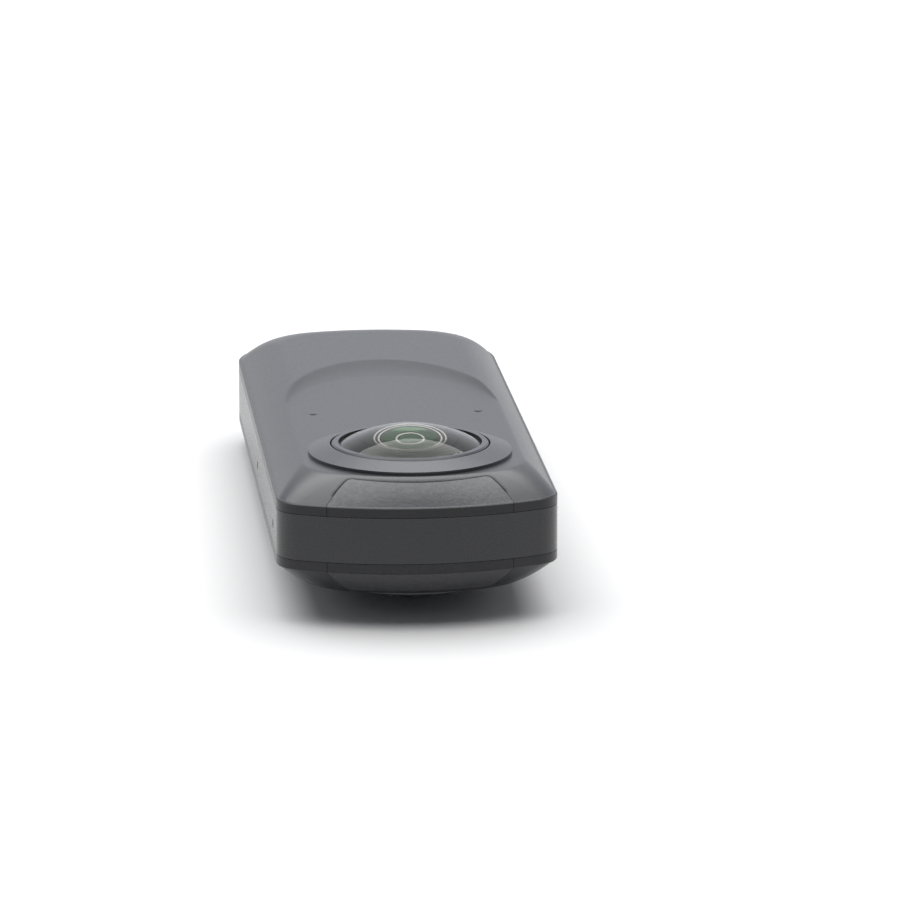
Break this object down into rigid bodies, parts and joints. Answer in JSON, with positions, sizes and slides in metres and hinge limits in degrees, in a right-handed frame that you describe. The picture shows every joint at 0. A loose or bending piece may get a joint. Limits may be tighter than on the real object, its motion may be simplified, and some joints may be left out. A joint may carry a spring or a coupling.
{
  "type": "360 degree camera",
  "caption": "Slim bar-shaped 360 degree camera with a bezelled fisheye dome lens near one end of each face, pressable buttons and a tripod thread",
  "frame": {"origin": "centre of the body, halfway between the two domes, the two ends and the two sides", "axes": "+Z out of the rear face, +Y towards the bottom end with the tripod thread, +X towards the side with the buttons"},
  "size_m": [0.048, 0.1324, 0.0296],
  "materials": {
    "shell_paint": "fine matte paint on cast magnesium",
    "frame_paint": "fine matte paint",
    "antenna_resin": "grained matte resin",
    "ring_paint": "satin paint",
    "lens_black": "flat black",
    "dome_glass": "polished, coated",
    "coated_glass": "polished, green coated",
    "cast_metal": "as cast",
    "circuit_board": "solder mask",
    "tin_plate": "tin plated",
    "socket_steel": "satin steel",
    "battery_wrap": "foil wrap",
    "copper_sheet": "rolled copper",
    "seal_rubber": "moulded",
    "screw_steel": "plain",
    "insert_steel": "turned",
    "button_metal": "spun, anodised",
    "trim_metal": "polished",
    "side_button_paint": "satin paint",
    "lamp_lens": "milky",
    "display_glass": "smoked, glossy",
    "display_black": "flat",
    "grille_mesh": "woven mesh"
  },
  "bodies": {
    "camera_body": {"battery": "battery_wrap", "board_shields": "tin_plate", "display_panel": "display_black", "display_window": "display_glass", "frame_seal_front": "seal_rubber", "frame_seal_rear": "seal_rubber", "front_antenna_window": "antenna_resin", "front_baffle": "lens_black", "front_board": "circuit_board", "front_dome_glass": "dome_glass", "front_inner_glass": "coated_glass", "front_lens_cell": "lens_black", "front_lens_ring": "ring_paint", "front_lens_stack": "lens_black", "front_shell": "shell_paint", "heat_spreader": "copper_sheet", "image_sensors": "circuit_board", "main_board": "circuit_board", "microphones": "tin_plate", "middle_frame": "frame_paint", "optics_bracket": "cast_metal", "prism_block": "coated_glass", "rear_antenna_window": "antenna_resin", "rear_baffle": "lens_black", "rear_dome_glass": "dome_glass", "rear_inner_glass": "coated_glass", "rear_lens_cell": "lens_black", "rear_lens_ring": "ring_paint", "rear_lens_stack": "lens_black", "rear_shell": "shell_paint", "shell_screws": "screw_steel", "shutter_switch": "tin_plate", "shutter_trim": "trim_metal", "side_switches": "tin_plate", "speaker": "tin_plate", "speaker_grille": "grille_mesh", "status_lamp": "lamp_lens", "strap_pin": "screw_steel", "switch_board": "circuit_board", "tripod_insert": "insert_steel", "usb_socket": "socket_steel"},
    "power_button": {"power_button": "side_button_paint"},
    "wireless_button": {"wireless_button": "side_button_paint"},
    "mode_button": {"mode_button": "side_button_paint"},
    "function_button": {"function_button": "side_button_paint"},
    "shutter_button": {"shutter_button": "button_metal"}
  },
  "joints": [
    {"name": "power_press", "type": "slide", "parent": "camera_body", "child": "power_button", "axis": [-1, 0, 0], "range_m": [0, 0.0003], "stiffness_N_per_m": 500, "springref_m": -0.002},
    {"name": "wireless_press", "type": "slide", "parent": "camera_body", "child": "wireless_button", "axis": [-1, 0, 0], "range_m": [0, 0.0003], "stiffness_N_per_m": 500, "springref_m": -0.002},
    {"name": "mode_press", "type": "slide", "parent": "camera_body", "child": "mode_button", "axis": [-1, 0, 0], "range_m": [0, 0.0003], "stiffness_N_per_m": 500, "springref_m": -0.002},
    {"name": "function_press", "type": "slide", "parent": "camera_body", "child": "function_button", "axis": [-1, 0, 0], "range_m": [0, 0.0003], "stiffness_N_per_m": 500, "springref_m": -0.002},
    {"name": "shutter_press", "type": "slide", "parent": "camera_body", "child": "shutter_button", "axis": [0, 0, 1], "range_m": [0, 0.0005], "stiffness_N_per_m": 600, "springref_m": -0.002}
  ]
}
